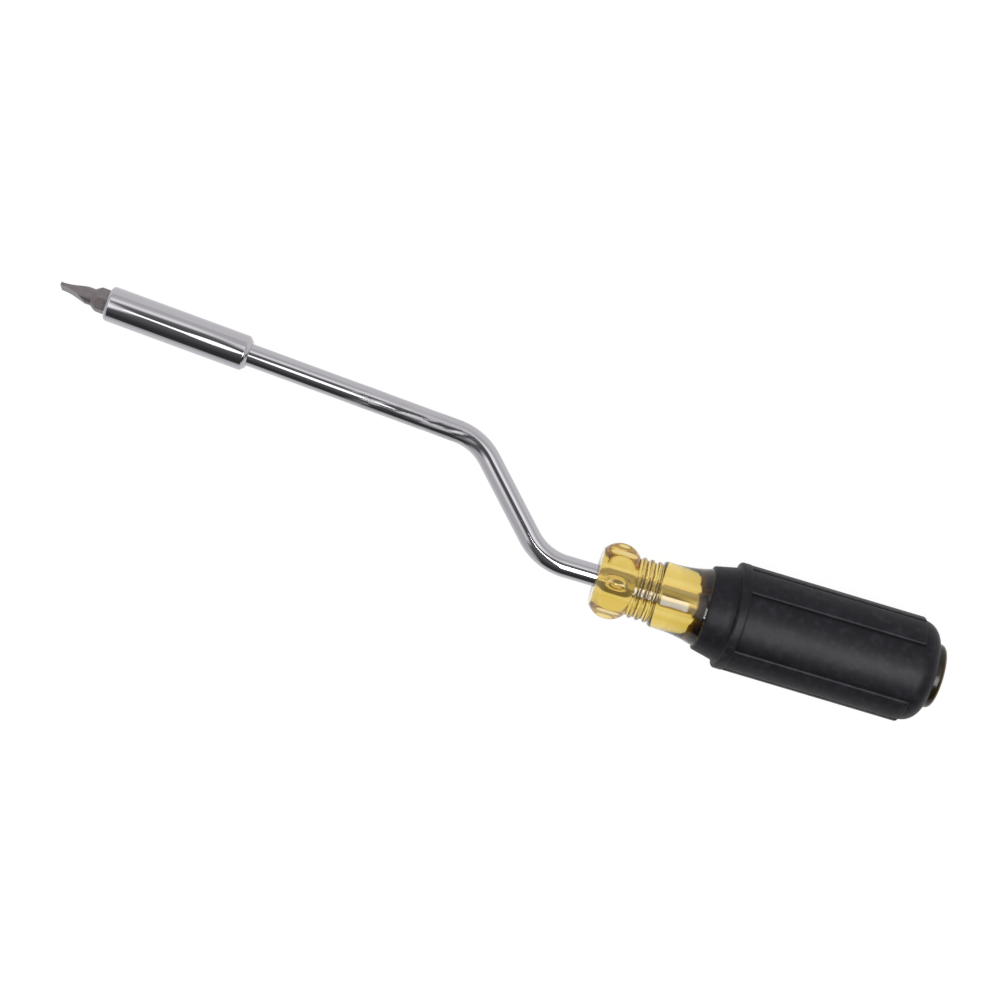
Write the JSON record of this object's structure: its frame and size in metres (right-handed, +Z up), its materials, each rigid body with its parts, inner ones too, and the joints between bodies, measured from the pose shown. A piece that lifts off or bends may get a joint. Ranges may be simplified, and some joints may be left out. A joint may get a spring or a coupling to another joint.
{
  "type": "multi-bit screwdriver",
  "caption": "Hand screwdriver with a cranked rod, a hexagon holder with a reversible insert bit, and a clear rubber-covered handle that turns freely on the rod.",
  "frame": {"origin": "centre of the butt's flat face, on the handle's axis", "axes": "+X out of the butt along the handle's axis, so the bit points to -X; +Z up with the tool lying on a table, on its grip and on the front of its holder"},
  "size_m": [0.2645, 0.0524, 0.0306],
  "materials": {
    "bit_steel": "phosphated",
    "spring_steel": "bright drawn",
    "plated_holder": "bright plated",
    "magnet": "nickel plated",
    "plated_rod": "bright plated",
    "amber_plastic": "clear, polished",
    "grip_rubber": "moulded, satin",
    "bronze": "sintered",
    "washer_steel": "ground",
    "ball_steel": "polished",
    "amber_plug": "clear, polished"
  },
  "bodies": {
    "shank": {"shank": "plated_rod", "bit_holder": "plated_holder", "bit_clip": "spring_steel", "socket_magnet": "magnet", "retaining_ring": "spring_steel"},
    "handle": {"handle_core": "amber_plastic", "cushion_grip": "grip_rubber", "rear_bush": "bronze", "thrust_washer": "washer_steel", "thrust_ball": "ball_steel", "end_plug": "amber_plug"},
    "bit": {"driver_bit": "bit_steel"}
  },
  "joints": [
    {"name": "handle_spin", "type": "hinge", "parent": "shank", "child": "handle", "pos_m": [0, 0, 0], "axis": [1, 0, 0], "continuous": true},
    {"name": "bit_pull", "type": "slide", "parent": "shank", "child": "bit", "axis": [-0.9981, 0.0581, -0.0186], "range_m": [0, 0.035]}
  ]
}
